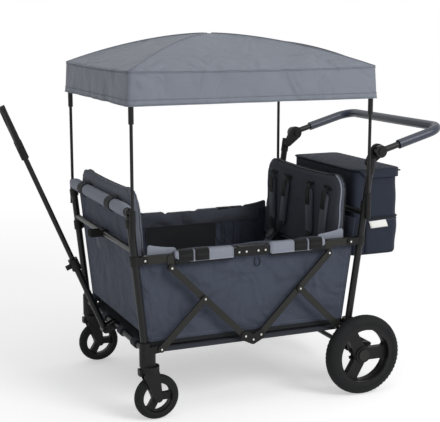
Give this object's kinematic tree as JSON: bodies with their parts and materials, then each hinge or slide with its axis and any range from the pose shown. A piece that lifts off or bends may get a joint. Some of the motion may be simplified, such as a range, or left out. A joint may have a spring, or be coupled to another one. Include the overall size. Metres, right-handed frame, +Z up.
{
  "type": "stroller wagon",
  "caption": "Folding stroller wagon with a padded fabric tub, facing seats with harnesses, roof on poles, tilting push bar, pull handle, swivel castors, foot brake and lidded rear bag.",
  "frame": {"origin": "middle of the footprint of the whole wagon, on the ground under the tub", "axes": "+X points to the rear, where the push bar and the bag are; -X is the front with the pull handle; +Y is the right side seen from the front looking back; +Z is up"},
  "size_m": [1.3935, 0.7528, 1.143],
  "materials": {
    "frame_tube": "satin powder coat on steel tube",
    "frame_bar": "satin powder coat on flat bars",
    "black_plastic": "grained moulding",
    "rim_plastic": "smooth moulding",
    "tyre_rubber": "matt rubber",
    "axle_steel": "bare steel",
    "pole_metal": "black powder coat",
    "roof_cloth": "coated plain weave, blue-grey",
    "tub_cloth": "coarse woven polyester, slate navy",
    "seat_cloth": "padded woven polyester, charcoal navy",
    "harness_cloth": "padded webbing, black",
    "rail_pad_cloth": "padded woven polyester, light grey",
    "bag_cloth": "woven polyester, dark navy",
    "floor_board": "cloth-covered board",
    "grip_leather": "stitched leatherette, navy"
  },
  "bodies": {
    "rear_frame": {"rear_posts": "frame_tube", "rear_cross_bars": "frame_tube", "handle_knuckles": "black_plastic", "rear_axle": "axle_steel", "rear_wall": "tub_cloth", "rear_backrest": "seat_cloth", "harness": "harness_cloth", "storage_bag": "bag_cloth", "rear_brackets": "black_plastic", "rear_pole_rods": "pole_metal", "side_wall_left": "tub_cloth", "side_wall_right": "tub_cloth", "rear_seat": "seat_cloth"},
    "rear_wheel_left": {"rear_tyre_left": "tyre_rubber", "rear_rim_left": "rim_plastic"},
    "rear_wheel_right": {"rear_tyre_right": "tyre_rubber", "rear_rim_right": "rim_plastic"},
    "brake": {"brake_pedal": "black_plastic"},
    "lid": {"bag_lid": "bag_cloth"},
    "rear_rail_pair": {"rear_rails": "frame_bar", "rear_rail_pads": "rail_pad_cloth"},
    "centre_brackets": {"rail_brackets": "black_plastic"},
    "front_rail_pair": {"front_rails": "frame_bar", "front_rail_pads": "rail_pad_cloth"},
    "front_frame": {"front_posts": "frame_tube", "front_top_bar": "frame_tube", "front_top_pad": "rail_pad_cloth", "front_cross_bar": "frame_tube", "handle_clip": "black_plastic", "front_lower_bar": "frame_tube", "front_wall": "tub_cloth", "front_backrest": "seat_cloth", "front_seat": "seat_cloth", "front_brackets": "black_plastic", "front_pole_rods": "pole_metal"},
    "rear_long_brace_pair": {"rear_long_braces": "frame_bar"},
    "front_long_brace_pair": {"front_long_braces": "frame_bar"},
    "hubs": {"hub_plates": "black_plastic"},
    "rear_short_brace_pair": {"rear_short_braces": "frame_bar"},
    "front_short_brace_pair": {"front_short_braces": "frame_bar"},
    "rear_floor_board": {"rear_floor": "floor_board"},
    "front_floor_board": {"front_floor": "floor_board"},
    "canopy_rear": {"rear_pole_tubes": "pole_metal", "canopy_roof": "roof_cloth", "roof_bows": "pole_metal"},
    "canopy_front": {"front_pole_tubes": "pole_metal"},
    "push_handle": {"push_bar": "frame_tube", "push_bar_grip": "grip_leather"},
    "button_left": {"knuckle_button_left": "black_plastic"},
    "button_right": {"knuckle_button_right": "black_plastic"},
    "pull_handle": {"pull_lower_tube": "frame_tube", "pull_clamp": "black_plastic"},
    "pull_extension": {"pull_upper_tube": "frame_tube", "pull_grip": "black_plastic"},
    "castor_left": {"castor_fork_left": "black_plastic"},
    "castor_right": {"castor_fork_right": "black_plastic"},
    "castor_wheel_left": {"castor_tyre_left": "tyre_rubber", "castor_rim_left": "rim_plastic"},
    "castor_wheel_right": {"castor_tyre_right": "tyre_rubber", "castor_rim_right": "rim_plastic"}
  },
  "joints": [
    {"name": "frame_fold", "type": "hinge", "parent": "rear_frame", "child": "rear_rail_pair", "pos_m": [0.345, 0, 0.493], "axis": [0, 1, 0], "range_deg": [0, 68], "deforming": ["side_wall_left", "side_wall_right", "rear_seat", "front_seat", "canopy_roof", "roof_bows"]},
    {"name": "bracket_fold", "type": "hinge", "parent": "rear_rail_pair", "child": "centre_brackets", "pos_m": [0.044, 0, 0.493], "axis": [0, 1, 0], "range_deg": [-68.5, 0]},
    {"name": "front_rail_fold", "type": "hinge", "parent": "centre_brackets", "child": "front_rail_pair", "pos_m": [-0.044, 0, 0.493], "axis": [0, 1, 0], "range_deg": [-68.5, 0]},
    {"name": "front_frame_fold", "type": "hinge", "parent": "front_rail_pair", "child": "front_frame", "pos_m": [-0.345, 0, 0.493], "axis": [0, 1, 0], "range_deg": [0, 68.5]},
    {"name": "rear_long_brace_fold", "type": "hinge", "parent": "rear_rail_pair", "child": "rear_long_brace_pair", "pos_m": [0.264, 0, 0.465], "axis": [0, 1, 0], "range_deg": [-100.91, 0]},
    {"name": "hub_fold", "type": "hinge", "parent": "rear_long_brace_pair", "child": "hubs", "pos_m": [0.026, 0, 0.229], "axis": [0, 1, 0], "range_deg": [0, 32.91]},
    {"name": "front_long_brace_fold", "type": "hinge", "parent": "front_rail_pair", "child": "front_long_brace_pair", "pos_m": [-0.264, 0, 0.465], "axis": [0, 1, 0], "range_deg": [0, 100.91]},
    {"name": "rear_short_brace_fold", "type": "hinge", "parent": "rear_frame", "child": "rear_short_brace_pair", "pos_m": [0.301, 0, 0.222], "axis": [0, 1, 0], "range_deg": [0, 32.64]},
    {"name": "front_short_brace_fold", "type": "hinge", "parent": "front_frame", "child": "front_short_brace_pair", "pos_m": [-0.301, 0, 0.222], "axis": [0, 1, 0], "range_deg": [-32.64, 0]},
    {"name": "rear_floor_fold", "type": "hinge", "parent": "rear_frame", "child": "rear_floor_board", "pos_m": [0.345, 0, 0.218], "axis": [0, 1, 0], "range_deg": [0, 68.5]},
    {"name": "front_floor_fold", "type": "hinge", "parent": "front_frame", "child": "front_floor_board", "pos_m": [-0.345, 0, 0.218], "axis": [0, 1, 0], "range_deg": [-68.5, 0]},
    {"name": "canopy_height", "type": "slide", "parent": "rear_frame", "child": "canopy_rear", "axis": [0, 0, 1], "range_m": [-0.08, 0]},
    {"name": "canopy_height_front", "type": "slide", "parent": "front_frame", "child": "canopy_front", "axis": [0, 0, 1], "range_m": [-0.081, 0.001]},
    {"name": "push_bar_tilt", "type": "hinge", "parent": "rear_frame", "child": "push_handle", "pos_m": [0.45, 0, 0.775], "axis": [0, -1, 0], "range_deg": [-50, 60]},
    {"name": "button_press_left", "type": "slide", "parent": "rear_frame", "child": "button_left", "axis": [0, -1, 0], "range_m": [0, 0.004], "stiffness_N_per_m": 500},
    {"name": "button_press_right", "type": "slide", "parent": "rear_frame", "child": "button_right", "axis": [0, 1, 0], "range_m": [0, 0.004], "stiffness_N_per_m": 500},
    {"name": "pull_handle_swing", "type": "hinge", "parent": "front_frame", "child": "pull_handle", "pos_m": [-0.377, 0, 0.205], "axis": [0, -1, 0], "range_deg": [-15, 60]},
    {"name": "pull_handle_slide", "type": "slide", "parent": "pull_handle", "child": "pull_extension", "axis": [-0.3907, 0, 0.9205], "range_m": [-0.15, 0]},
    {"name": "castor_swivel_left", "type": "hinge", "parent": "front_frame", "child": "castor_left", "pos_m": [-0.331, -0.302, 0.17], "axis": [0, 0, 1], "continuous": true},
    {"name": "castor_swivel_right", "type": "hinge", "parent": "front_frame", "child": "castor_right", "pos_m": [-0.331, 0.302, 0.17], "axis": [0, 0, 1], "continuous": true},
    {"name": "castor_spin_left", "type": "hinge", "parent": "castor_left", "child": "castor_wheel_left", "pos_m": [-0.311, -0.302, 0.07], "axis": [0, 1, 0], "continuous": true},
    {"name": "castor_spin_right", "type": "hinge", "parent": "castor_right", "child": "castor_wheel_right", "pos_m": [-0.311, 0.302, 0.07], "axis": [0, 1, 0], "continuous": true},
    {"name": "rear_wheel_spin_left", "type": "hinge", "parent": "rear_frame", "child": "rear_wheel_left", "pos_m": [0.371, -0.3544, 0.13], "axis": [0, 1, 0], "continuous": true},
    {"name": "rear_wheel_spin_right", "type": "hinge", "parent": "rear_frame", "child": "rear_wheel_right", "pos_m": [0.371, 0.3544, 0.13], "axis": [0, 1, 0], "continuous": true},
    {"name": "brake_press", "type": "hinge", "parent": "rear_frame", "child": "brake", "pos_m": [0.371, 0, 0.13], "axis": [0, 1, 0], "range_deg": [0, 18]},
    {"name": "bag_lid_open", "type": "hinge", "parent": "rear_frame", "child": "lid", "pos_m": [0.40818, 0, 0.6993], "axis": [0, -1, 0], "range_deg": [0, 100]}
  ],
  "couplings": [
    {"joint": "bracket_fold", "follows": "frame_fold", "ratio": -1},
    {"joint": "front_rail_fold", "follows": "frame_fold", "ratio": -1},
    {"joint": "front_frame_fold", "follows": "frame_fold", "ratio": 1},
    {"joint": "rear_long_brace_fold", "follows": "frame_fold", "ratio": -1.4766},
    {"joint": "hub_fold", "follows": "frame_fold", "ratio": 0.47658},
    {"joint": "front_long_brace_fold", "follows": "frame_fold", "ratio": 1.4766},
    {"joint": "rear_short_brace_fold", "follows": "frame_fold", "ratio": 0.47264},
    {"joint": "front_short_brace_fold", "follows": "frame_fold", "ratio": -0.47264},
    {"joint": "rear_floor_fold", "follows": "frame_fold", "ratio": 1},
    {"joint": "front_floor_fold", "follows": "frame_fold", "ratio": -1},
    {"joint": "canopy_height_front", "follows": "canopy_height", "ratio": 1}
  ]
}
